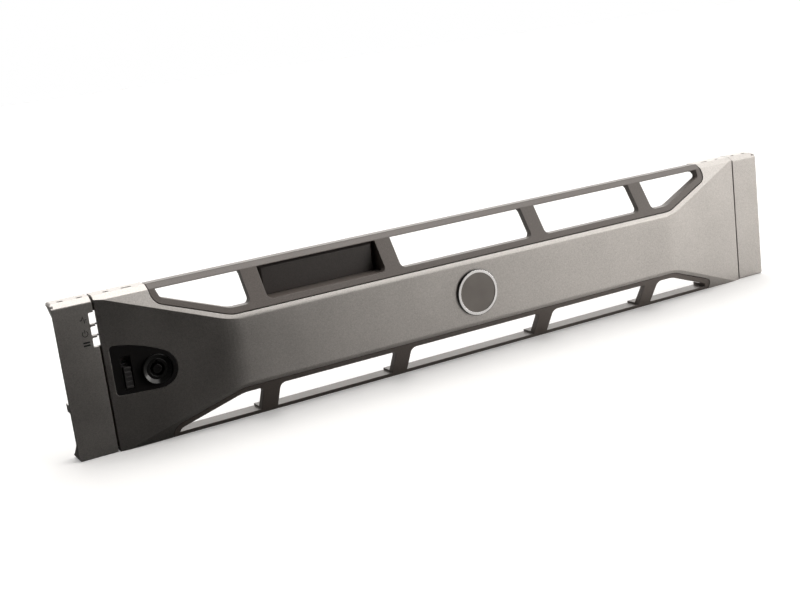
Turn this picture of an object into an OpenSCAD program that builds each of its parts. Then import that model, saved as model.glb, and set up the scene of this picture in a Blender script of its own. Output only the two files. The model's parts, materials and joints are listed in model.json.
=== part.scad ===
// Clip-on front bezel for a two-unit 19-inch rack enclosure.
// X runs along the width, the front faces -Y and +Z is up. The origin is the
// middle of the whole part's outline in plan, at the surface it stands on.

/* [Overall] */
// Width over both end caps
overall_w = 482; // [470:1:490]
// Height of the flat front of the end caps
front_h = 82; // [80:0.5:86]
// Rise of the top edge above the flat front
top_rise = 2.5; // [1.5:0.1:3.5]
// Depth over which the top edge of a cap falls to its front
edge_run = 4.2; // [3.6:0.1:5]
// Depth of the caps behind their fronts
body_d = 11.7; // [11.4:0.1:13]
// Width of each end cap
cap_w = 20.55; // [19:0.05:22]
// Open joint between the front panel and each cap
joint_w = 1.15; // [0.8:0.05:1.5]

/* [Front panel] */
// How far the centre band stands in front of the caps
band_d = 15.4; // [14:0.1:17]
// Height of the painted centre band
band_h = 40.2; // [38:0.2:42]
// Height of the band's flat front, between its two creases
flat_h = 36.4; // [34:0.2:37]
// How far the foot of each slope stands in front of the caps
lip_d = 1.2; // [0.8:0.1:1.6]
// Length of each sloping end, from the band to its cap
ramp_l = 67.45; // [64:0.05:72]
// How far the painted edge starts to flare before the band ends
flare_in = 1.5; // [0.5:0.1:3]
// Angle at which the painted edge flares towards the ends
flare_a = 19.7; // [18:0.1:21]
// Length of the painted flanges beside each cap
end_l = 30.15; // [28:0.05:32]
// Wall thickness of the painted shells
wall = 2; // [1.8:0.1:2.4]

/* [Frame] */
// Thickness of the rims and struts
frame_t = 3.6; // [3:0.1:4]
// Width of the rim beside a window
rim_w = 3.6; // [3.2:0.1:4]
// Width of the rim at the far end of a window
end_rim_w = 4.7; // [4.2:0.1:5]
// Width of a strut
strut_w = 10; // [8:0.2:12]
// Distance of the outer struts from the sloping ends
strut_in = 19; // [16:0.2:22]
// Place of the inner struts, as a share of the outer ones' distance from the middle
strut_share = 0.378; // [0.34:0.001:0.4]
// Thickness of the top rail
top_rail_t = 2.9; // [2.4:0.1:3.4]
// Thickness of the bottom rail
foot_rail_t = 2.4; // [2:0.1:3]
// Distance of the rails' front behind the cap fronts
rail_y = 2.8; // [2.4:0.1:3.2]
// Depth of the rails
rail_d = 5.9; // [5:0.1:6.5]
// Outer height of the box beam behind the band
beam_h = 36; // [34:0.5:38]
// Thickness of the walls inside the frame
web_t = 2; // [1.6:0.1:2.4]
// Thickness of the web at the back of the beam
back_t = 4; // [3.4:0.1:4.4]

/* [Badge and nameplate] */
// Outer diameter of the round badge
badge_dia = 27.6; // [25:0.2:30]
// How far the badge base stands in front of the band
badge_proud = 1.2; // [0.8:0.1:1.6]
// Width of the bright ring on the badge
ring_w = 1.6; // [1.2:0.1:2.2]
// Distance from the badge centre to each of its pins
badge_pin_x = 7; // [5:0.5:9]
// Thickness of the nameplate
nameplate_t = 2; // [1.6:0.1:2.4]

/* [Lock] */
// Distance of the lock from its end cap
lock_in = 26.45; // [25:0.05:27]
// How far the lock's axis is under the middle of the front
lock_drop = 0.5; // [0:0.1:1]
// Outer radius of the lock's head
lock_r = 8.1; // [7.8:0.1:8.4]
// Radius of the turning plug
plug_r = 5.6; // [5.2:0.1:5.8]
// Radius of the plug's neck
neck_r = 4.4; // [3.8:0.1:4.8]
// Radius of the escutcheon's round end
escutcheon_r = 10.4; // [10:0.1:11]
// Length of the escutcheon, from the lock's axis to its straight edge
escutcheon_l = 22; // [21:0.1:23]
// Length of the cam from the lock's axis
cam_l = 16; // [15:0.2:17]

/* [Latch] */
// Distance between the lock's axis and the thumb slide
slide_gap = 15; // [14.6:0.1:15.6]
// Width of the thumb slide
slide_w = 3.8; // [3.4:0.1:4.2]
// Height of the thumb slide
slide_h = 11.4; // [10:0.2:12]
// How far the thumb slide and the latch travel
travel = 5; // [4:0.2:5.4]
// Thickness of the steel latch and of the steel bracket
plate_t = 1.5; // [1.2:0.1:1.6]
// How far the hooks reach behind the caps
hook_reach = 5.3; // [4:0.1:7]
// Wire diameter of the latch spring
wire_d = 0.8; // [0.6:0.05:0.9]

/* [Hidden] */
$fn = 48;

// Colours
painted = "#6d6867";
dark = "#4c4642";
black = "#141312";
bright = "#d9d9d9";
steel = "#9a9a98";

// Clearances
fit = 0.4;              // between neighbouring mouldings
slip = 0.1;             // between a sliding face and what carries it
run = 0.05;             // radial clearance of a shaft or screw in its hole
far = 60;               // past the part, for cuts

// Main lines of the section
total_h = front_h + top_rise;
mid_z = front_h / 2;
half_w = overall_w / 2;
cap_x = half_w - cap_w;
panel_x = cap_x - joint_w;
ramp_x = cap_x - ramp_l;
flare_x = ramp_x - flare_in;
end_x = cap_x - end_l;
strut_out_x = ramp_x - strut_in;
strut_in_x = strut_out_x * strut_share;
lock_x = cap_x - lock_in;
lock_z = mid_z - lock_drop;
escutcheon_x = lock_x + escutcheon_l;
latch_x = lock_x + slide_gap;
edge_h = band_h / 2;
crease_r = 3;
edge_r = 0.8;
foot_r = 0.3;
slope = (band_d - lip_d) / (mid_z - flat_h / 2);
ramp = band_d / (cap_x - ramp_x);
arc_n = 6;              // chords in a rounded corner
rim_drop = 0.35;        // rims lie this far behind the painted slopes
flare_r = 20;           // bend of the painted edge where it starts to flare
end_r = 7;              // bend of the painted edge at the end of the windows
end_lean = 1.2;         // lean of the painted end over the window's height
badge_step = 0.3;       // ring in front of the badge base
front_reach = band_d + badge_proud + badge_step;
back_reach = body_d + hook_reach;
function ramp_y(x) = -band_d + ramp * (x - ramp_x);

// ---- outlines ---------------------------------------------------------

function unit(v) = v / norm(v);
function at(p, i) = p[(i + len(p)) % len(p)];
function xy(q) = [q[0], q[1]];
function flip_x(p) = [for (q = p) [-q[0], q[1], q[2]]];
function flip_z(p) = [for (q = p) [q[0], -q[1], q[2]]];
function reversed(p) = [for (i = [len(p) - 1:-1:0]) p[i]];
function arc(c, r, from, to, n) =
    [for (i = [0:n]) let (t = from + (to - from) * i / n) c + r * [cos(t), sin(t)]];

// A corner at b between a and c, rounded to radius r
function corner(a, b, c, r) = r <= 0 ? [b] :
    let (u = unit(a - b), w = unit(c - b), half = acos(u * w) / 2,
         o = b + unit(u + w) * (r / sin(half)),
         s = b + u * (r / tan(half)) - o,
         from = atan2(s[1], s[0]),
         turn = (180 - 2 * half) * sign(cross(-u, w)))
    arc(o, r, from, from + turn, arc_n);

// Points [x, y, r] as an outline whose corners are rounded to r
function rounded(p) = [for (i = [0:len(p) - 1])
    each corner(xy(at(p, i - 1)), xy(p[i]), xy(at(p, i + 1)), p[i][2])];

// An anticlockwise outline with every edge moved inwards by t
function inward(a, b) = let (d = unit(xy(b) - xy(a))) [-d[1], d[0]];
function inset(p, t) = [for (i = [0:len(p) - 1])
    let (n1 = inward(at(p, i - 1), p[i]), n2 = inward(p[i], at(p, i + 1)),
         q = xy(p[i]) + t * (n1 + n2) / (1 + n1 * n2))
    [q[0], q[1], p[i][2]]];

// Section of the panel and the frame in y and z
function section(drop, back) = [
    [-band_d + drop, mid_z - flat_h / 2, crease_r],
    [-lip_d + drop, 0, foot_r],
    [back, 0, 0],
    [back, total_h, 0],
    [edge_run - lip_d, total_h, edge_r],
    [-lip_d + drop, front_h, edge_r],
    [-band_d + drop, mid_z + flat_h / 2, crease_r]];

// Plan of the whole front in x and y
function plan(back) = [
    [-half_w, 0, 0], [-cap_x, 0, 0], [-ramp_x, -band_d, 60],
    [ramp_x, -band_d, 60], [cap_x, 0, 0], [half_w, 0, 0],
    [half_w, back, 0], [-half_w, back, 0]];

// Painted edge on one side, from the band to the far end: g across the
// edge and e along the end move it towards the window
function flare_line(x, g) = edge_h + g / cos(flare_a) + (x - flare_x) * tan(flare_a);
function painted_edge(g, e, top) = [
    [flare_x - g * tan(flare_a / 2), edge_h + g, flare_r - g],
    [end_x - e, flare_line(end_x - e, g), end_r - e],
    [end_x - e + end_lean, top, 0]];
function painted_corner(g, e) = concat(painted_edge(g, e, far), [[panel_x, far, 0]]);
function painted_outline(g, e) = let (p = painted_corner(g, e))
    concat(p, reversed(flip_z(p)), flip_x(flip_z(p)), reversed(flip_x(p)));

// ---- shared solids ------------------------------------------------------

// Extrudes an outline in y and z along X, from x0 to x1
module along_x(p, x0, x1) {
    translate([x0, 0, 0]) rotate([90, 0, 90]) linear_extrude(x1 - x0) polygon(p);
}

// Extrudes an outline in x and height over the mid line along Y
module along_y(p, y0 = -far, y1 = far) {
    translate([0, y1, mid_z]) rotate([90, 0, 0]) linear_extrude(y1 - y0) polygon(p);
}

// A box from its low corner to its high corner
module block(low, high) {
    translate(low) cube(high - low);
}

// A round bar along Y
module rod(x, z, r, y0, y1) {
    translate([x, y1, z]) rotate([90, 0, 0]) cylinder(r = r, h = y1 - y0);
}

// The front's body, bounded by its slopes and its plan, t under the surface
module body(t) {
    back = body_d + 3 * wall;
    intersection() {
        along_x(rounded(inset(section(0, back), t)), -half_w, half_w);
        linear_extrude(total_h) polygon(rounded(inset(plan(back), t)));
    }
}

module both_ends() {
    children();
    mirror([1, 0, 0]) children();
}

// Places a node so that the whole part's plan is centred on the origin
module placed() {
    translate([0, (front_reach - back_reach) / 2, 0]) children();
}

// A pan-head screw along Y: head_y is the face under its head, on the +Y side
screw_r = 1.45;
head_r = 2.8;
head_h = 1.8;
module screw(x, z, head_y, length) {
    rod(x, z, screw_r, head_y - length, head_y);
    difference() {
        rod(x, z, head_r, head_y, head_y + head_h);
        for (a = [0, 90])
            translate([x, head_y + head_h, z]) rotate([0, a, 0])
                cube([2 * screw_r, head_h, 0.7], center = true);
    }
}

// ---- front panel --------------------------------------------------------

rail_back = rail_y + rail_d;
web_back = body_d;
web_front = web_back - back_t;
far_post = [ramp_x + 5, 9];  // posts near the ends of the band, above and below its middle
near_post_x = ramp_x * 0.47;
post_r = 3.5;
post_sites = concat(
    [for (sx = [-1, 1], sz = [-1, 1]) [sx * far_post[0], mid_z + sz * far_post[1]]],
    [for (sx = [-1, 1]) [sx * near_post_x, mid_z]]);
screw_l = 10;
well_d = 2.2;           // wells that sink the screws' heads in the web
well_r = 3.2;
seat_t = 2;             // thickness of the frame under a screw's head
seat_y = web_back - well_d - seat_t;
snap_x = [cap_x - 20.45, cap_x - 9.45];  // snap slots in the panel's ends
snap_w = [5.5, 3];
snap_y = 4.2;
snap_d = 2.2;
badge_pin_r = 1.25;

// Escutcheon outline, with a gap g all round
big_r = 62;
big_a = 62;
esc_corner_r = 2;
function escutcheon(g) =
    let (c = [-lock_x, lock_z - mid_z], r = escutcheon_r + g, b = big_r + g,
         o = c + (escutcheon_r - big_r) * [cos(big_a), sin(big_a)],
         left = -escutcheon_x - g,
         last = acos((left - o[0]) / b),
         p = concat([[left, c[1] - r]], arc(c, r, -90, big_a, 10), arc(o, b, big_a, last, 6)),
         n = len(p))
    rounded([for (i = [0:n - 1]) [p[i][0], p[i][1], i == 0 || i == n - 1 ? esc_corner_r : 0]]);

module front_panel() {
    color(painted) placed() difference() {
        union() {
            intersection() {
                difference() {
                    body(0);
                    body(wall);
                    block([-far * 9, body_d, -far], [far * 9, body_d * 3, far * 3]);
                }
                along_y(rounded(painted_outline(0, 0)));
            }
            for (p = post_sites)
                rod(p[0], p[1], post_r, ramp_y(max(ramp_x, abs(p[0]))) + wall / 2, seat_y);
        }
        for (p = post_sites)
            rod(p[0], p[1], screw_r + run, seat_y - screw_l, web_back);
        for (s = [-1, 1])
            rod(s * badge_pin_x, mid_z, badge_pin_r + run, -far, 0);
        along_y(escutcheon(fit / 2), -far, rail_y);
        both_ends() for (i = [0, 1]) snap_slots(snap_x[i], snap_w[i]);
    }
}

// Slots through the top and bottom flanges, and the frame's snaps in them
module snap_slots(x, w) {
    for (z = [-1, total_h - wall - 1])
        block([x - w / 2, snap_y, z], [x + w / 2, snap_y + snap_d, z + wall + 2]);
}

module snaps(x, w) {
    side = x - w / 2 + slip;
    for (up = [0, 1])
        translate([0, 0, up * total_h]) mirror([0, 0, up])
            block([side, snap_y + slip, 0.9], [side + w - 2 * slip, snap_y + snap_d - slip, wall + web_t]);
}

// ---- end caps -----------------------------------------------------------

led_h = [6.2, 4.8, 4.9];    // heights of the indicator windows, from the top one down
led_gap = 1.2;
led_top = [front_h - 5.5, front_h - 5.5 - led_h[0] - led_gap,
           front_h - 5.5 - led_h[0] - led_h[1] - 2 * led_gap];
led_z = [for (i = [0:2]) [led_top[i] - led_h[i], led_top[i]]];
led_d = 2.65;           // how far the windows cut into the left cap
cap_corner_r = 1.6;
gusset_h = [8, 5.5];    // height of the gussets at the foot and at the top
cap_snap_x = [cap_x + 4.5, half_w - 6];
cap_snap_w = 3;

function cap_section(back) = [
    [0, 0, edge_r], [back, 0, 0], [back, total_h, 0], [edge_run, total_h, edge_r],
    [0, front_h, edge_r]];

// An end cap at the right: a front plate with a top and a bottom flange, open
// at its side but for two small gussets
module end_cap() {
    face = [[cap_x, -mid_z, 0], [half_w, -mid_z, cap_corner_r],
            [half_w, total_h - mid_z, cap_corner_r], [cap_x, total_h - mid_z, 0]];
    intersection() {
        along_y(rounded(face));
        difference() {
            union() {
                difference() {
                    along_x(rounded(cap_section(body_d)), cap_x, half_w);
                    along_x(rounded(inset(cap_section(2 * body_d), wall)), cap_x - 1, half_w + 1);
                }
                gusset_t = wall - 0.7;
                for (up = [0, 1])
                    translate([0, 0, up * total_h]) mirror([0, 0, up])
                        along_x([[wall / 2, wall / 2], [body_d, wall / 2], [wall / 2, wall + gusset_h[up]]],
                                half_w - gusset_t, half_w);
            }
            for (x = cap_snap_x) snap_slots(x, cap_snap_w);
        }
    }
}

module right_end_cap() {
    color(painted) placed() end_cap();
}

module left_end_cap() {
    led_r = 0.7;
    color(painted) placed() difference() {
        mirror([1, 0, 0]) end_cap();
        for (z = led_z)
            along_y(rounded([[-cap_x - led_d, z[0] - mid_z, led_r], [-cap_x + 1, z[0] - mid_z, 0],
                             [-cap_x + 1, z[1] - mid_z, 0], [-cap_x - led_d, z[1] - mid_z, led_r]]),
                    -1, wall + 1);
    }
}

// ---- inner frame --------------------------------------------------------

win_h = edge_h + rim_w;         // window edge over the mid line
win_r = 3;
top_gap = total_h - top_rail_t - mid_z;
foot_gap = mid_z - foot_rail_t;
tray_x = end_x + 6.7;           // start of the end trays
tray_end = half_w - 2.5;
floor_y = wall + 0.2;
floor_back = floor_y + web_t;
ledge_in = 6;                   // width of the ledge under the painted edge
pocket = [-strut_out_x + strut_w / 2, -strut_in_x - strut_w / 2];

// A plain window, and the last one, which follows the flare
function window(x0, x1, top) = rounded([
    [x0, win_h, win_r], [x1, win_h, win_r], [x1, top, 0], [x0, top, 0]]);
function end_window(top) = rounded(concat(
    [[strut_out_x + strut_w / 2, top, 0], [strut_out_x + strut_w / 2, win_h, win_r]],
    painted_edge(rim_w, end_rim_w, top)));

module windows() {
    in0 = strut_in_x - strut_w / 2;
    in1 = strut_in_x + strut_w / 2;
    out0 = strut_out_x - strut_w / 2;
    for (foot = [0, 1]) {
        top = foot == 1 ? foot_gap : top_gap;
        translate([0, 0, foot * 2 * mid_z]) mirror([0, 0, foot]) {
            along_y(window(-in0, in0, top));
            along_y(window(in1, out0, top));
            along_y(foot == 1 ? window(-out0, -in1, top) : window(pocket[0], pocket[1], top));
            along_y(end_window(top));
            mirror([1, 0, 0]) along_y(end_window(top));
        }
    }
}

// Rims and struts, on the slopes
module frame_face() {
    outer = section(rim_drop, rail_back);
    core = section(rim_drop, rail_back + 3 * frame_t);
    reach = end_x + end_lean;
    difference() {
        along_x(rounded(outer), -reach, reach);
        along_x(rounded(inset(core, frame_t)), -reach - 1, reach + 1);
        along_y(rounded(painted_outline(fit, fit)));
        windows();
    }
}

// The ledge that carries the painted edge, the box beam and the end trays
module frame_core() {
    under = wall + fit;
    beam = beam_h / 2;
    tray_top = total_h - wall - fit;
    tray_foot = wall + fit;
    intersection() {
        body(under);
        union() {
            block([-panel_x, -far, 0], [panel_x, far, total_h]);
            along_x(rounded(inset(cap_section(2 * body_d), under)), -half_w, half_w);
        }
        union() {
            difference() {
                body(0);
                body(under + web_t);
                along_y(rounded(painted_outline(-ledge_in, -ledge_in)));
                difference() {
                    block([-half_w, -far, -1], [half_w, far, total_h + 1]);
                    along_y(rounded(painted_outline(rim_w, end_rim_w)));
                }
                windows();
                block([-far * 9, rail_back - web_t, -1], [far * 9, far, total_h + 1]);
            }
            // box beam: two walls and a web behind the band
            for (s = [-1, 1])
                translate([0, 0, mid_z + s * (beam - web_t / 2)])
                    block([-tray_x - web_t, -band_d, -web_t / 2], [tray_x + web_t, web_back, web_t / 2]);
            lock_clear = lock_x - nut_af / 2 - 7;
            block([-lock_clear, web_front, mid_z - beam], [lock_clear, web_back, mid_z + beam]);
            both_ends() {
                // step from the web to the tray's floor
                block([lock_clear - web_t, floor_y, mid_z - beam],
                      [lock_clear, web_back, mid_z + beam]);
                block([lock_clear - web_t, floor_y, mid_z - beam],
                      [tray_x + web_t, floor_back, mid_z + beam]);
                // tray: floor, side walls, top and bottom walls
                block([tray_x, floor_y, tray_foot], [tray_end, floor_back, tray_top]);
                for (z = [[tray_foot, mid_z - beam + web_t], [mid_z + beam - web_t, tray_top]])
                    block([tray_x, -band_d, z[0]], [tray_x + web_t, body_d, z[1]]);
                block([tray_end - web_t, floor_y, tray_foot], [tray_end, body_d, tray_top]);
                for (z = [tray_foot, tray_top - web_t])
                    block([tray_x, floor_y, z], [tray_end, body_d, z + web_t]);
            }
        }
    }
}

// The rails, which step in at both ends to run under the panel's flanges
module rails() {
    reach = tray_x + web_t;
    tuck = end_x - end_rim_w / 2;
    lap = end_x - end_rim_w + 1;
    step_z = wall + fit / 2;
    for (up = [0, 1]) {
        t = up == 1 ? top_rail_t : foot_rail_t;
        translate([0, 0, up * total_h]) mirror([0, 0, up]) {
            block([-tuck, rail_y, 0], [tuck, rail_back, t]);
            both_ends() block([lap, rail_y, step_z], [reach, rail_back, step_z + web_t]);
        }
    }
}

// Closed box between the two left struts that holds the nameplate
module nameplate_pocket() {
    low = mid_z + win_h - web_t;
    side_profile = rounded(inset(section(rim_drop + 1, rail_back), 0.2));
    difference() {
        intersection() {
            along_x(side_profile, pocket[0] - web_t, pocket[1] + web_t);
            block([pocket[0] - web_t, -far, low], [pocket[1] + web_t, rail_back, total_h - 1]);
        }
        block([pocket[0], -far, low + web_t], [pocket[1], rail_back - web_t, total_h - top_rail_t]);
        block([pocket[0], -far, low + web_t], [pocket[1], rail_y, total_h + 1]);
    }
}

// Everything that the latch, the spring and the lock need on the frame
module latch_seats() {
    for (z = cover_screw_z)
        rod(-cover_screw_x, z, 2.6, floor_back - slip, cover_y);
    block([-latch_x - spring_r - 0.5, floor_back - slip, stop_z],
          [-latch_x + spring_r + 0.5, spring_y + spring_r, stop_z + 2.5]);
    rod_z = stop_z - 2;
    translate([-latch_x, spring_y, rod_z]) cylinder(r = spring_r - wire_d - 0.3, h = 2.5);
}

module inner_frame() {
    floor_cut = [floor_y - 1, floor_back + 1];
    led_margin = 0.3;
    led_in = 2.4;
    peep_h = 15;                  // opening beside the right joint
    peep = [cap_x - 0.95, cap_x + 4.55];
    peep_z = [mid_z - peep_h / 2 - lock_drop, mid_z + peep_h / 2 - lock_drop];
    color(dark) placed() difference() {
        union() {
            frame_face();
            frame_core();
            rails();
            nameplate_pocket();
            latch_seats();
            for (p = post_sites) rod(p[0], p[1], well_r + web_t / 2, seat_y, web_back);
            both_ends() {
                for (i = [0, 1]) snaps(snap_x[i], snap_w[i]);
                for (x = cap_snap_x) snaps(x, cap_snap_w);
            }
        }
        for (p = post_sites) {
            rod(p[0], p[1], screw_r + run, seat_y - 1, web_back + 1);
            rod(p[0], p[1], well_r, web_back - well_d, web_back + 1);
        }
        rod(-lock_x, lock_z, barrel_r + run, floor_cut[0], floor_cut[1]);
        block([-latch_x - stem_w / 2 - fit, floor_cut[0], slide_z - stem_h / 2 - fit],
              [-latch_x + stem_w / 2 + fit, floor_cut[1], slide_z + stem_h / 2 + travel + fit]);
        for (z = led_z)
            block([-cap_x - led_d - led_margin, floor_cut[0], z[0] - led_margin],
                  [-cap_x + led_in, floor_cut[1], z[1] + led_margin]);
        block([peep[0], floor_cut[0], peep_z[0]], [peep[1], floor_cut[1], peep_z[1]]);
        block([-tray_end - 1, floor_back, finger_z[0] - fit],
              [-tray_end + web_t + 1, floor_back + plate_t + 2 * slip, finger_z[1] + travel + fit]);
        for (z = cover_screw_z)
            rod(-cover_screw_x, z, screw_r + run, floor_y + 0.4, cover_y + 1);
        for (z = bracket_screw_z)
            rod(bracket_screw_x, z, screw_r + run, floor_y - 1, floor_back + 1);
    }
}

// ---- badge --------------------------------------------------------------

badge_r = badge_dia / 2;
badge_face = -band_d - badge_proud;
ring_groove = 0.6;
pin_back = -band_d + wall + 2.6;

module badge_base() {
    color(black) placed() {
        difference() {
            rod(0, mid_z, badge_r, badge_face, -band_d);
            rod(0, mid_z, badge_r - ring_groove / 2, badge_face - 1, badge_face + ring_groove);
        }
        for (s = [-1, 1])
            rod(s * badge_pin_x, mid_z, badge_pin_r, -band_d, pin_back);
    }
}

module badge_ring() {
    color(bright) placed() difference() {
        rod(0, mid_z, badge_r - ring_groove / 2 - run, badge_face - badge_step, badge_face + ring_groove);
        rod(0, mid_z, badge_r - ring_groove / 2 - ring_w, badge_face - 1, badge_face + 1);
    }
}

module badge_insert() {
    color(painted) placed()
        rod(0, mid_z, badge_r - ring_groove / 2 - ring_w - run, badge_face, badge_face + ring_groove);
}

module badge_push_nuts() {
    nut_r = 3.4;
    nut_t = 0.5;
    color(steel) placed() for (s = [-1, 1]) difference() {
        rod(s * badge_pin_x, mid_z, nut_r, -band_d + wall, -band_d + wall + nut_t);
        rod(s * badge_pin_x, mid_z, badge_pin_r + run, -band_d, 0);
    }
}

// ---- nameplate ----------------------------------------------------------

module nameplate() {
    front = -0.4;
    low = mid_z + win_h;
    high = total_h - top_rail_t - 0.3;
    bevel = 1.5;
    side = 1.2;
    post = [4, 3];                 // width and height of the plate's feet
    x0 = pocket[0] + side;
    x1 = pocket[1] - side;
    back = front + nameplate_t;
    color(dark) placed() {
        intersection() {
            along_x([[front, low + slip], [back, low + slip], [back, high],
                     [front + bevel, high], [front, high - bevel]], x0, x1);
            linear_extrude(total_h) polygon([[x0, front + bevel], [x0 + bevel, front], [x1 - bevel, front],
                                             [x1, front + bevel], [x1, back], [x0, back]]);
        }
        for (x = [x0 + post[0], x1 - 2 * post[0]], z = [low + 2, high - 2 - post[1]])
            block([x, back, z], [x + post[0], rail_back - web_t, z + post[1]]);
    }
}

// ---- lock ---------------------------------------------------------------

lock_face = -6.9;
barrel_r = lock_r - 1;
barrel_back = floor_back + 4.4;
washer_t = 0.8;
nut_t = 3;
nut_af = 18;
cam_y = barrel_back + 0.2;
cam_t = 1.6;
cam_w = 7;
cam_screw_r = 1.9;
cam_hub_r = 6.4;
shoulder_y = -1.6;             // step between the lock's head and its barrel
neck_y = 3;                    // step between the plug and its neck

module lock_escutcheon() {
    thick = 2;
    slot = [slide_w / 2 + 0.6, slide_h / 2 + 0.6];
    foot_sites = [[-escutcheon_x + 3.2, lock_z - escutcheon_r + 3.2],
                  [-escutcheon_x + 3.2, lock_z + escutcheon_r + 1]];
    color(black) placed() difference() {
        union() {
            intersection() {
                difference() {
                    body(0.1);
                    body(0.1 + thick);
                }
                along_y(escutcheon(0), -far, floor_y);
            }
            for (p = foot_sites) rod(p[0], p[1], 1.6, ramp_y(-p[0]) + thick / 2, floor_y);
            // socket that carries the lock's head down to the frame
            intersection() {
                rod(-lock_x, lock_z, escutcheon_r - 0.6, -far, floor_y);
                body(0.1 + thick / 2);
            }
        }
        rod(-lock_x, lock_z, lock_r + run, -far, shoulder_y);
        rod(-lock_x, lock_z, barrel_r + run, -far, far);
        block([-latch_x - slot[0], -far, slide_z - slot[1]],
              [-latch_x + slot[0], floor_y + 1, slide_z + travel + slot[1]]);
        block([-latch_x - flange[0] / 2 - fit, ramp_y(latch_x) + 2.8, slide_z - flange[1] / 2 - fit],
              [-latch_x + flange[0] / 2 + fit, floor_y + 1, slide_z + travel + flange[1] / 2 + fit]);
    }
}

module lock_housing() {
    dish = 1.1;
    rim = 0.45;
    color(black) placed() difference() {
        union() {
            rod(-lock_x, lock_z, lock_r, lock_face, shoulder_y);
            rod(-lock_x, lock_z, barrel_r, shoulder_y, barrel_back);
        }
        rod(-lock_x, lock_z, plug_r + run, lock_face - 1, neck_y + slip);
        rod(-lock_x, lock_z, neck_r + run, lock_face, barrel_back + 1);
        translate([-lock_x, lock_face + dish, lock_z]) rotate([90, 0, 0])
            cylinder(r1 = plug_r + run, r2 = lock_r - rim, h = dish);
    }
}

module lock_washer() {
    color(steel) placed() difference() {
        rod(-lock_x, lock_z, nut_af / 2, floor_back, floor_back + washer_t);
        rod(-lock_x, lock_z, barrel_r + run, floor_back - 1, floor_back + 2);
    }
}

module lock_nut() {
    y0 = floor_back + washer_t;
    color(steel) placed() difference() {
        translate([-lock_x, y0 + nut_t, lock_z]) rotate([90, 0, 0])
            cylinder(r = nut_af / 2 / cos(30), h = nut_t, $fn = 6);
        rod(-lock_x, lock_z, barrel_r + run, y0 - 1, y0 + nut_t + 1);
    }
}

module lock_plug() {
    keyway = [2.5, 3.9];           // radii of the ring-shaped keyway
    deep = 5;
    face = lock_face + 1.1;
    color(black) placed() difference() {
        union() {
            rod(-lock_x, lock_z, plug_r, face, neck_y);
            rod(-lock_x, lock_z, neck_r, neck_y, cam_y);
        }
        difference() {
            rod(-lock_x, lock_z, keyway[1], face - 1, face + deep);
            rod(-lock_x, lock_z, keyway[0], face - 2, face + deep + 1);
        }
        block([-lock_x - 0.7, face - 1, lock_z + keyway[0]], [-lock_x + 0.7, face + deep, lock_z + keyway[1] + 0.8]);
        rod(-lock_x, lock_z, cam_screw_r + run, cam_y - 6, cam_y + 1);
    }
}

module lock_cam() {
    tip = cam_w / 2;
    color(steel) placed() difference() {
        union() {
            rod(-lock_x, lock_z, cam_hub_r, cam_y, cam_y + cam_t);
            block([-lock_x - tip, cam_y, lock_z], [-lock_x + tip, cam_y + cam_t, lock_z + cam_l - tip]);
            rod(-lock_x, lock_z + cam_l - tip, tip, cam_y, cam_y + cam_t);
        }
        rod(-lock_x, lock_z, cam_screw_r + run, cam_y - 1, cam_y + cam_t + 1);
    }
}

module lock_cam_screw() {
    head = cam_y + cam_t;
    color(steel) placed() {
        rod(-lock_x, lock_z, cam_screw_r, cam_y - 5, head);
        difference() {
            rod(-lock_x, lock_z, 3.4, head, head + 1.8);
            translate([-lock_x, head + 1.8, lock_z]) cube([8, 1.6, 0.9], center = true);
        }
    }
}

// ---- latch --------------------------------------------------------------

slide_z = lock_z - 1.6;        // centre of the slide at rest
latch_y = floor_back + slip;
latch_back = latch_y + plate_t;
latch_w = 7.6;
latch_z = [mid_z - 17, mid_z + 15];
flange = [slide_w + 2.6, slide_h + 3];
stem_w = 3.2;
stem_h = 6;
hook_h = 8;                    // height of a hook's arm
hook_z = mid_z - 19;           // foot of the latch's hook at rest
barb = 3;                      // how far the hook turns down
bracket_hook_z = [mid_z - 19, mid_z + 15];
hook_turn = 5;                 // how far the fixed hooks turn inwards
hook_x = tray_end - web_t - 0.4;
hook_tip = body_d + hook_reach;
finger_z = [hook_z + barb + 0.4, hook_z + hook_h];       // end of the latch's lower arm, which reaches past the frame
finger_end = half_w - 0.7;
finger_back = body_d - 0.7;
spring_r = 3;
spring_y = latch_back + spring_r - 0.4;
seat_z = latch_z[1];
spring_l = 15.5;
stop_z = latch_z[1] + spring_l;
cover_screw_x = latch_x + 9.6;
cover_screw_z = [mid_z + 1, mid_z + 9.5];
cover_y = latch_back + slip;
cover_t = 1.5;
lug_top = lock_z - cam_w / 2 - travel - 0.3;
lug_h = 4.5;
bracket_screw_x = cap_x + 9.05;
bracket_screw_z = [mid_z - 17, mid_z - 1, mid_z + 19];

// Outline of the latch's hook in y and z: a tab that runs back and turns down
function hook_outline(y0, z0) = [
    [y0, z0 + barb], [hook_tip - barb, z0 + barb], [hook_tip - barb, z0],
    [hook_tip - barb / 2, z0], [hook_tip, z0 + barb], [hook_tip, z0 + hook_h], [y0, z0 + hook_h]];

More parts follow.
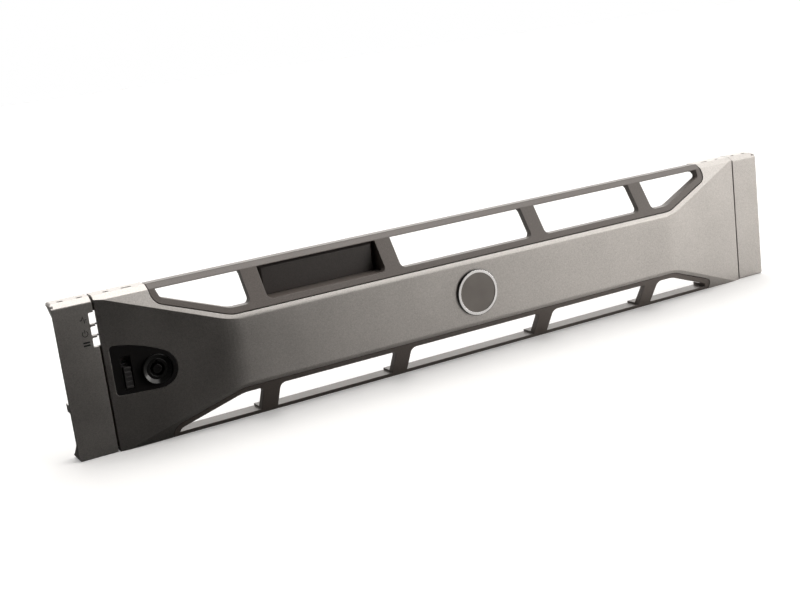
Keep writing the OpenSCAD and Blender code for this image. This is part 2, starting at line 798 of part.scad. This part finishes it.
module release_slide() {
    face = ramp_y(latch_x) - 0.5;
    ribs = 5;
    rib_h = 1.1;
    pitch = (slide_h - rib_h) / (ribs - 1);
    low = slide_z - slide_h / 2;
    back = ramp_y(latch_x) + 2.8 + fit;
    color(dark) placed() difference() {
        union() {
            block([-latch_x - slide_w / 2, face + 0.5, low], [-latch_x + slide_w / 2, back, low + slide_h]);
            for (i = [0:ribs - 1])
                block([-latch_x - slide_w / 2, face, low + i * pitch],
                      [-latch_x + slide_w / 2, face + 1, low + i * pitch + rib_h]);
            block([-latch_x - flange[0] / 2, back, slide_z - flange[1] / 2],
                  [-latch_x + flange[0] / 2, floor_y - slip, slide_z + flange[1] / 2]);
            block([-latch_x - stem_w / 2, back - 1, slide_z - stem_h / 2],
                  [-latch_x + stem_w / 2, latch_y, slide_z + stem_h / 2]);
        }
        rod(-latch_x, slide_z, slide_screw_r + run, latch_y - 4, latch_y + 1);
    }
}

slide_screw_r = 1;
module slide_screw() {
    color(steel) placed() {
        rod(-latch_x, slide_z, slide_screw_r, latch_y - 3.6, latch_back);
        rod(-latch_x, slide_z, 1.8, latch_back, latch_back + 1.2);
    }
}

module latch_bar() {
    x0 = -latch_x - latch_w / 2;
    x1 = -latch_x + latch_w / 2;
    color(steel) placed() difference() {
        union() {
            block([x0, latch_y, latch_z[0]], [x1, latch_back, latch_z[1]]);
            // lower arm and its finger
            block([-hook_x, latch_y, hook_z + barb], [x0 + 1, latch_back, hook_z + hook_h]);
            block([-finger_end, latch_y, finger_z[0]], [-hook_x + 1, latch_back, finger_z[1]]);
            block([-finger_end, latch_y, finger_z[0]], [-finger_end + plate_t, finger_back, finger_z[1]]);
            along_x(hook_outline(latch_y, hook_z), -hook_x, -hook_x + plate_t);
            // lug under the cam and seat for the spring
            block([x0 + 1, latch_y, lug_top - plate_t], [x1 - 1, cam_y + cam_t, lug_top]);
            block([x0, latch_y, seat_z - plate_t], [x1, spring_y + spring_r, seat_z]);
        }
        rod(-latch_x, slide_z, slide_screw_r + run, latch_y - 1, latch_back + 1);
    }
}

// Helical compression spring between the latch's seat and the frame's stop
module latch_spring() {
    turns = 7;
    sides = 8;
    steps = 12;
    low = seat_z + wire_d / 2;
    high = stop_z - wire_d / 2;
    n = turns * steps;
    mid_r = spring_r - wire_d / 2;
    rings = [for (i = [0:n], k = [0:sides - 1])
        let (a = 360 * i / steps, b = 360 * k / sides, r = mid_r + wire_d / 2 * cos(b))
        [-latch_x + r * cos(a), spring_y + r * sin(a), low + (high - low) * i / n + wire_d / 2 * sin(b)]];
    walls = [for (i = [0:n - 1], k = [0:sides - 1])
        let (j = (k + 1) % sides, p = i * sides)
        [p + k, p + sides + k, p + sides + j, p + j]];
    ends = [[for (k = [0:sides - 1]) k], [for (k = [sides - 1:-1:0]) n * sides + k]];
    color(steel) placed() polyhedron(points = rings, faces = concat(walls, ends));
}

module latch_cover() {
    x0 = -cover_screw_x - 3;
    x1 = -latch_x + latch_w / 2 - 0.6;
    z0 = cover_screw_z[0] - 3;
    z1 = cover_screw_z[1] + 2.6;
    window_w = 4.6;               // clears the head of the slide's screw
    color(black) placed() difference() {
        block([x0, cover_y, z0], [x1, cover_y + cover_t, z1]);
        block([-latch_x - window_w / 2, cover_y - 1, z0 - 1],
              [-latch_x + window_w / 2, cover_y + cover_t + 1, slide_z + travel + window_w / 2 + 0.4]);
        for (z = cover_screw_z)
            rod(-cover_screw_x, z, screw_r + run, cover_y - 1, cover_y + cover_t + 1);
    }
}

module latch_cover_screws() {
    color(steel) placed() for (z = cover_screw_z)
        screw(-cover_screw_x, z, cover_y + cover_t, cover_y + cover_t - floor_y - 0.6);
}

// ---- hooks at the right -------------------------------------------------

module hook_bracket() {
    x0 = bracket_screw_x - 3.4;
    z0 = bracket_hook_z[0] - 2;
    z1 = bracket_hook_z[1] + hook_h + 2;
    color(steel) placed() difference() {
        union() {
            block([x0, floor_back, z0], [hook_x, floor_back + plate_t, z1]);
            for (z = bracket_hook_z)
                for (low = [[hook_x - plate_t, floor_back], [hook_x - hook_turn, hook_tip - plate_t]])
                    block([low[0], low[1], z], [hook_x, hook_tip, z + hook_h]);
        }
        for (z = bracket_screw_z)
            rod(bracket_screw_x, z, screw_r + run, floor_back - 1, floor_back + plate_t + 1);
    }
}

module hook_bracket_screws() {
    color(steel) placed() for (z = bracket_screw_z)
        screw(bracket_screw_x, z, floor_back + plate_t, plate_t + web_t - 0.2);
}

module panel_screws() {
    color(steel) placed() for (p = post_sites)
        screw(p[0], p[1], web_back - well_d, screw_l);
}

// ---- nodes --------------------------------------------------------------

front_panel();
inner_frame();
left_end_cap();
right_end_cap();
badge_base();
badge_ring();
badge_insert();
badge_push_nuts();
nameplate();
lock_escutcheon();
lock_housing();
lock_washer();
lock_nut();
lock_plug();
lock_cam();
lock_cam_screw();
release_slide();
latch_bar();
slide_screw();
latch_spring();
latch_cover();
latch_cover_screws();
hook_bracket();
hook_bracket_screws();
panel_screws();
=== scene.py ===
"""Looks of the clip-on rack bezel: materials, small marks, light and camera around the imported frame."""

import json
import math

import bmesh
import bpy
from mathutils import Matrix, Vector

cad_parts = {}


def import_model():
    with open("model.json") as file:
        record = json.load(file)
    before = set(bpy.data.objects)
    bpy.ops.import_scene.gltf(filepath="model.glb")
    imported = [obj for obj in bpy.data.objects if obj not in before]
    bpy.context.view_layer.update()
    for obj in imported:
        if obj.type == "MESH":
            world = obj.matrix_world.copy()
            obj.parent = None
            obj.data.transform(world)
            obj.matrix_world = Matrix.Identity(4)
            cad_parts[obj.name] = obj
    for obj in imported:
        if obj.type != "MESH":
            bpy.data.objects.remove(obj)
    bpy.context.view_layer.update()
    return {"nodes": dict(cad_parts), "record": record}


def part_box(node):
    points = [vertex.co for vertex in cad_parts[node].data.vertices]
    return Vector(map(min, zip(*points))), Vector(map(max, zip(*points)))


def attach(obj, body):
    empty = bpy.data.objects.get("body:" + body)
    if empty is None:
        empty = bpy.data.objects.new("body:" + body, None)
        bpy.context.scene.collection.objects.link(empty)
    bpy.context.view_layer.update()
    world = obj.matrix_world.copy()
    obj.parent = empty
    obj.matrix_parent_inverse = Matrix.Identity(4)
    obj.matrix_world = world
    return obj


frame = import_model()
nodes = frame["nodes"]
scene = bpy.context.scene

MM = 0.001


# ---- node helpers ---------------------------------------------------------

NOISE_MIDDLE = (0.3, 0.7)  # where nearly all values of a noise texture lie
MIX_A, MIX_B, MIX_COLOUR = 6, 7, 2  # the colour sockets of a Mix node
BEVEL_SAMPLES = 4


class Tree:
    """A node tree with short names for what the materials and the world share."""

    def __init__(self, tree):
        self.tree = tree
        self.tree.nodes.clear()

    def add(self, kind):
        return self.tree.nodes.new(kind)

    def link(self, a, b):
        self.tree.links.new(a, b)

    def feed(self, socket, value):
        """Link a socket to a socket, or set a plain value."""
        if isinstance(value, (int, float, tuple)):
            socket.default_value = value
        else:
            self.link(value, socket)

    def maths(self, kind, a, b):
        m = self.add("ShaderNodeMath")
        m.operation = kind
        for socket, value in zip(m.inputs, (a, b)):
            self.feed(socket, value)
        return m.outputs["Value"]

    def span(self, source, low, high, from_low=0.0, from_high=1.0, kind="LINEAR"):
        """Map the source's range onto low to high."""
        r = self.add("ShaderNodeMapRange")
        r.interpolation_type = kind
        r.inputs["From Min"].default_value = from_low
        r.inputs["From Max"].default_value = from_high
        r.inputs["To Min"].default_value = low
        r.inputs["To Max"].default_value = high
        self.link(source, r.inputs["Value"])
        return r.outputs["Result"]

    def spread(self, noise, low, high):
        """Map the middle of a noise texture onto low to high."""
        return self.span(noise, low, high, *NOISE_MIDDLE)

    def split(self, vector):
        sep = self.add("ShaderNodeSeparateXYZ")
        self.link(vector, sep.inputs[0])
        return sep.outputs

    def camera_ray(self):
        return self.add("ShaderNodeLightPath").outputs["Is Camera Ray"]

    def pick(self, fac, a, b):
        """Shader a where fac is 0 and shader b where it is 1."""
        m = self.add("ShaderNodeMixShader")
        for socket, value in zip(m.inputs, (fac, a, b)):
            self.link(value, socket)
        return m.outputs[0]


class Shader(Tree):
    """A Principled material whose colour, roughness and normal are built from nodes."""

    def __init__(self, name, metallic, specular=0.5):
        self.mat = bpy.data.materials.new(name)
        self.mat.use_nodes = True
        super().__init__(self.mat.node_tree)
        self.out = self.add("ShaderNodeOutputMaterial")
        self.bsdf = self.add("ShaderNodeBsdfPrincipled")
        self.link(self.bsdf.outputs[0], self.out.inputs["Surface"])
        self.bsdf.inputs["Metallic"].default_value = metallic
        self.bsdf.inputs["Specular IOR Level"].default_value = specular
        self.coord = self.add("ShaderNodeTexCoord").outputs["Object"]

    def noise(self, scale, detail=3.0, rough=0.5, stretch=None):
        source = self.coord
        if stretch:
            mapping = self.add("ShaderNodeMapping")
            mapping.inputs["Scale"].default_value = stretch
            self.link(source, mapping.inputs["Vector"])
            source = mapping.outputs["Vector"]
        n = self.add("ShaderNodeTexNoise")
        n.inputs["Scale"].default_value = scale
        n.inputs["Detail"].default_value = detail
        n.inputs["Roughness"].default_value = rough
        self.link(source, n.inputs["Vector"])
        return n.outputs["Fac"]

    def cells(self, scale):
        """A random value in each cell of a Voronoi texture."""
        n = self.add("ShaderNodeTexVoronoi")
        n.inputs["Scale"].default_value = scale
        self.link(self.coord, n.inputs["Vector"])
        sep = self.add("ShaderNodeSeparateColor")
        self.link(n.outputs["Color"], sep.inputs["Color"])
        return sep.outputs["Red"]

    def mix(self, fac, a, b):
        m = self.add("ShaderNodeMix")
        m.data_type = "RGBA"
        self.link(fac, m.inputs["Factor"])
        self.feed(m.inputs[MIX_A], a)
        self.feed(m.inputs[MIX_B], b)
        return m.outputs[MIX_COLOUR]

    def surface(self, colour, rough):
        self.link(colour, self.bsdf.inputs["Base Color"])
        self.link(rough, self.bsdf.inputs["Roughness"])

    def normal(self, height, strength, distance, radius=0.0):
        """Bump from the height, over edges that are shaded round by the radius."""
        bump = self.add("ShaderNodeBump")
        bump.inputs["Strength"].default_value = strength
        bump.inputs["Distance"].default_value = distance
        self.link(height, bump.inputs["Height"])
        if radius:
            bevel = self.add("ShaderNodeBevel")
            bevel.samples = BEVEL_SAMPLES
            bevel.inputs["Radius"].default_value = radius
            self.link(bevel.outputs["Normal"], bump.inputs["Normal"])
        self.link(bump.outputs["Normal"], self.bsdf.inputs["Normal"])


def scaled(colour, k=1.0):
    """Linear RGBA of a colour times k."""
    return (colour[0] * k, colour[1] * k, colour[2] * k, 1.0)


# ---- materials --------------------------------------------------------------

EDGE = 0.4 * MM  # shaded rounding of the edges
FRAME_EDGE = 0.6 * MM
METAL_EDGE = 0.2 * MM
GRAIN_DEPTH = 0.2 * MM
METAL_GRAIN_DEPTH = 0.1 * MM

PAINT_COLOUR = (0.43, 0.412, 0.395)
PAINT_METALLIC = 0.92
PAINT_ROUGH = (0.36, 0.42)
PAINT_DARK, PAINT_LIGHT = 0.62, 1.38  # the range from which the tone picks
PAINT_BUMP = 0.05
FLAKE_SCALE = 2600
FLAKE_TONE, FLAKE_ROUGH = (-0.16, 0.16), (-0.02, 0.03)
CLOUD_TONE = (-0.06, 0.06)
GRAIN_TONE = (0.44, 0.56)

PLASTIC_DARK, PLASTIC_LIGHT = 0.82, 1.18
PLASTIC_CLOUD_ROUGH = (-0.03, 0.03)
METAL_DARK, METAL_LIGHT = 0.88, 1.08


def silver_paint():
    """Silver-grey metallic paint: fine flakes, a slight cloudiness and a little orange peel."""
    s = Shader("silver_paint", metallic=PAINT_METALLIC)
    flake = s.cells(FLAKE_SCALE)
    cloud = s.noise(28, 4)
    grain = s.noise(900, 2)
    tone = s.maths("ADD", s.span(flake, *FLAKE_TONE), s.spread(cloud, *CLOUD_TONE))
    tone = s.maths("ADD", tone, s.spread(grain, *GRAIN_TONE))
    s.surface(
        s.mix(tone, scaled(PAINT_COLOUR, PAINT_DARK), scaled(PAINT_COLOUR, PAINT_LIGHT)),
        s.maths("ADD", s.spread(cloud, *PAINT_ROUGH), s.span(flake, *FLAKE_ROUGH)),
    )
    s.normal(grain, PAINT_BUMP, GRAIN_DEPTH, radius=EDGE)
    return s.mat


def moulded(name, colour, rough, bump=0.12, radius=EDGE, scale=1500):
    """Moulded plastic with a fine etched grain."""
    s = Shader(name, metallic=0.0)
    fine = s.noise(scale, 3, 0.6)
    cloud = s.noise(35, 3)
    s.surface(
        s.mix(s.spread(fine, 0.0, 1.0), scaled(colour, PLASTIC_DARK), scaled(colour, PLASTIC_LIGHT)),
        s.maths("ADD", s.spread(fine, *rough), s.spread(cloud, *PLASTIC_CLOUD_ROUGH)),
    )
    s.normal(fine, bump, GRAIN_DEPTH, radius=radius)
    return s.mat


def metal(name, colour, rough, stretch):
    """Metal whose grain runs along the axis that is stretched least."""
    s = Shader(name, metallic=1.0)
    grain = s.noise(400, 3, 0.6, stretch=stretch)
    cloud = s.noise(60, 3)
    s.surface(
        s.mix(s.spread(cloud, 0.0, 1.0), scaled(colour, METAL_DARK), scaled(colour, METAL_LIGHT)),
        s.spread(grain, *rough),
    )
    s.normal(grain, 0.05, METAL_GRAIN_DEPTH, radius=METAL_EDGE)
    return s.mat


SLOT_MATERIAL = {
    "painted": silver_paint(),
    "frame": moulded("frame_plastic", (0.11, 0.093, 0.083), (0.34, 0.46), radius=FRAME_EDGE),
    "plate": moulded("plate_plastic", (0.05, 0.043, 0.04), (0.3, 0.4), bump=0.06),
    "black": moulded("black_plastic", (0.012, 0.011, 0.011), (0.3, 0.42)),
    "slide": moulded("slide_plastic", (0.035, 0.033, 0.033), (0.32, 0.42)),
    "lock": moulded("lock_coating", (0.008, 0.008, 0.008), (0.1, 0.18), bump=0.02, scale=300),
    "bright": metal("ring_metal", (0.86, 0.86, 0.86), (0.12, 0.22), (1, 1, 1)),
    "insert": metal("insert_metal", (0.18, 0.168, 0.157), (0.36, 0.46), (1, 1, 12)),
    "steel": metal("plated_steel", (0.56, 0.56, 0.55), (0.28, 0.42), (8, 1, 1)),
}
INK = moulded("mark_ink", (0.01, 0.01, 0.01), (0.45, 0.55), bump=0.03, radius=0.0)

node_slot = {p["node"]: p["material_slot"] for p in frame["record"]["subparts"]}
for name, obj in nodes.items():
    obj.data.materials.clear()
    obj.data.materials.append(SLOT_MATERIAL[node_slot[name]])


# ---- small marks beside the indicator windows, in millimetres ---------------

MARK_RISE, MARK_SINK = 0.03, 0.02  # how far a mark stands out of the cap and into it
LINE_W = 0.36
BAR_W = 0.9
SHARPEST = 0.4  # keeps a corner of a line from growing long
MARK_X = -226.4  # middle of the power mark
RING_Z, RING_R, RING_ARC = 66.0, 1.45, (122, 418)
ARC_STEPS = 20
BAR_X = (-228.2, -224.7)


def plate_piece(name, outlines):
    """Flat closed outlines in x and z on the left cap's front."""
    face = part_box("left_end_cap")[0][1]
    bm = bmesh.new()
    for outline in outlines:
        front, back = (
            [bm.verts.new((x * MM, y, z * MM)) for x, z in outline]
            for y in (face - MARK_RISE * MM, face + MARK_SINK * MM)
        )
        for i in range(len(outline)):
            j = (i + 1) % len(outline)
            bm.faces.new((front[i], front[j], back[j], back[i]))
        bm.faces.new(front)
        bm.faces.new(back)
    bmesh.ops.recalc_face_normals(bm, faces=bm.faces)
    mesh = bpy.data.meshes.new(name)
    bm.to_mesh(mesh)
    bm.free()
    mesh.materials.append(INK)
    obj = bpy.data.objects.new(name, mesh)
    scene.collection.objects.link(obj)
    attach(obj, "bezel")


def stroke(points, w=LINE_W):
    """Outline of a line of width w through the points."""
    pts = [Vector(p) for p in points]
    left, right = [], []
    for i, p in enumerate(pts):
        a = (p - pts[i - 1]).normalized() if i else (pts[1] - p).normalized()
        b = (pts[i + 1] - p).normalized() if i < len(pts) - 1 else a
        n = Vector((-(a + b)[1], (a + b)[0])).normalized()
        n = n * (w / 2 / max(SHARPEST, n.dot(Vector((-a[1], a[0])))))
        left.append(tuple(p + n))
        right.append(tuple(p - n))
    return left + right[::-1]


def arc_points(cx, cz, r, start, end):
    """Points on an arc from the start to the end angle, in degrees."""
    angles = [math.radians(start + (end - start) * i / ARC_STEPS) for i in range(ARC_STEPS + 1)]
    return [(cx + r * math.cos(a), cz + r * math.sin(a)) for a in angles]


plate_piece("mark_pulse", [
    stroke([
        (-228.0, 73.4), (-226.9, 73.4), (-226.3, 75.2),
        (-225.7, 71.7), (-225.2, 73.4), (-224.4, 73.4),
    ]),
])
plate_piece("mark_power", [
    stroke(arc_points(MARK_X, RING_Z, RING_R, *RING_ARC)),
    stroke([(MARK_X, 66.4), (MARK_X, 68.1)]),
])
plate_piece("mark_drive", [stroke([(x, z) for x in BAR_X], BAR_W) for z in (61.4, 59.9)])


# ---- floor, backdrop and light --------------------------------------------

FLOOR_HALF = 6.0
FLOOR_GLOW = 0.215  # lifts the paper to white for the camera alone
PAPER_DARK, PAPER_LIGHT = (0.8, 0.8, 0.8), (0.84, 0.84, 0.84)
PAPER_ROUGH = (0.8, 0.9)
# painted shade: the paper's colour seen by rays other than the camera's, dark (UNLIT) at the front left
# and pale (LIT) at the right and back
UNLIT, LIT = (0.02, 0.019, 0.019), (0.8, 0.79, 0.78)
UNLIT_TO_LIT = (-0.22, 0.1)  # metres along the line that parts them
SLANT = 0.5

STUDIO_COLOUR = (1.0, 0.975, 0.945)
WHITE = (1.0, 1.0, 1.0)
DARK, BRIGHT = 0.02, 2.1
RIGHT_EDGE = (17, 35)  # azimuth from the front, in degrees
LEFT_EDGE = (-100, -80)
LEFT_LEVEL = 0.1
BEHIND_EDGE = (0.0, 0.25)
BEHIND_LEVEL = 0.6


def floor_material():
    """White paper for the camera; for other rays its colour is painted dark at the front left, a painted
    shade standing in for the dark of the studio.
    """
    s = Shader("floor_paper", metallic=0.0, specular=0.2)
    fine = s.noise(300, 2)
    s.surface(
        s.mix(s.spread(fine, 0.0, 1.0), scaled(PAPER_DARK), scaled(PAPER_LIGHT)),
        s.spread(fine, *PAPER_ROUGH),
    )
    seen = s.camera_ray()
    glow = s.add("ShaderNodeEmission")
    s.link(s.maths("MULTIPLY", seen, FLOOR_GLOW), glow.inputs["Strength"])
    paper = s.add("ShaderNodeAddShader")
    s.link(s.bsdf.outputs[0], paper.inputs[0])
    s.link(glow.outputs[0], paper.inputs[1])
    place = s.split(s.coord)
    side = s.maths("ADD", place["X"], s.maths("MULTIPLY", place["Y"], SLANT))
    studio = s.add("ShaderNodeBsdfDiffuse")
    # painted shade in the paper's colour, darker towards the front left, for all rays but the camera's
    painted_floor_shade = s.mix(s.span(side, 0.0, 1.0, *UNLIT_TO_LIT), scaled(UNLIT), scaled(LIT))
    s.link(painted_floor_shade, studio.inputs["Color"])
    s.link(s.pick(seen, studio.outputs[0], paper.outputs[0]), s.out.inputs["Surface"])
    return s.mat


mesh = bpy.data.meshes.new("floor")
corners = [(x * FLOOR_HALF, y * FLOOR_HALF, 0) for x, y in ((-1, -1), (1, -1), (1, 1), (-1, 1))]
mesh.from_pydata(corners, [], [(0, 1, 2, 3)])
floor = bpy.data.objects.new("floor", mesh)
scene.collection.objects.link(floor)
mesh.materials.append(floor_material())


def world():
    """White for the camera; for other rays a dark studio with a broad soft light at the right."""
    w = bpy.data.worlds.new("studio")
    scene.world = w
    w.use_nodes = True
    t = Tree(w.node_tree)

    def smooth(source, edge, start, end):
        return t.span(source, start, end, *edge, kind="SMOOTHSTEP")

    def background(colour):
        node = t.add("ShaderNodeBackground")
        node.inputs["Color"].default_value = scaled(colour)
        return node

    way = t.split(t.add("ShaderNodeTexCoord").outputs["Generated"])
    azimuth = t.maths("ARCTAN2", way["X"], t.maths("MULTIPLY", way["Y"], -1.0))
    right = smooth(azimuth, map(math.radians, RIGHT_EDGE), DARK, BRIGHT)
    behind = smooth(way["Y"], BEHIND_EDGE, 0.0, BEHIND_LEVEL)
    left = smooth(azimuth, map(math.radians, LEFT_EDGE), 1.0, 0.0)
    level = t.maths("MAXIMUM", right, behind)
    level = t.maths("MAXIMUM", level, t.maths("MULTIPLY", left, LEFT_LEVEL))
    studio = background(STUDIO_COLOUR)
    t.link(level, studio.inputs["Strength"])
    white = background(WHITE)
    white.inputs["Strength"].default_value = 1.0
    out = t.add("ShaderNodeOutputWorld")
    t.link(t.pick(t.camera_ray(), studio.outputs[0], white.outputs[0]), out.inputs["Surface"])


def area(name, place, target, size, power, colour):
    """A rectangular lamp at the place, aimed at the target; metres and watts."""
    data = bpy.data.lights.new(name, "AREA")
    data.shape = "RECTANGLE"
    data.size, data.size_y = size
    data.energy = power
    data.color = colour
    lamp = bpy.data.objects.new(name, data)
    lamp.location = place
    aim = Vector(target) - Vector(place)
    lamp.rotation_euler = aim.to_track_quat("-Z", "Y").to_euler()
    scene.collection.objects.link(lamp)


world()
area("key", (1.3, -0.85, 0.25), (0.2, 0, 0.03), (0.8, 0.6), 3, (1.0, 0.97, 0.93))
area("top", (0.0, 0.25, 1.5), (0, 0.05, 0), (1.6, 0.9), 6, (1.0, 0.98, 0.96))


# ---- camera ----------------------------------------------------------------

# fitted to the photo: metres, millimetres and a rotation vector in radians
CAM_PLACE = Vector((-0.36652, -0.61921, 0.20428))
CAM_LENS = 55.249
CAM_SENSOR = 36.0
CAM_NEAR = 0.01
CAM_ROTATION = (0.19137130607527514, -0.49256229512947314, -0.17760420143993105)


def rotation(v):
    vector = Vector(v)
    return Matrix.Rotation(vector.length, 3, vector.normalized())


data = bpy.data.cameras.new("camera")
data.lens = CAM_LENS
data.sensor_width = CAM_SENSOR
data.clip_start = CAM_NEAR
camera = bpy.data.objects.new("camera", data)
# rows: right, down and forward of the camera in the frame's axes
axes = rotation(CAM_ROTATION) @ Matrix(((1, 0, 0), (0, 0, -1), (0, 1, 0)))
pose = Matrix((axes[0], -axes[1], -axes[2])).transposed().to_4x4()
pose.translation = CAM_PLACE
camera.matrix_world = pose
scene.collection.objects.link(camera)
scene.camera = camera

scene.view_settings.view_transform = "Standard"
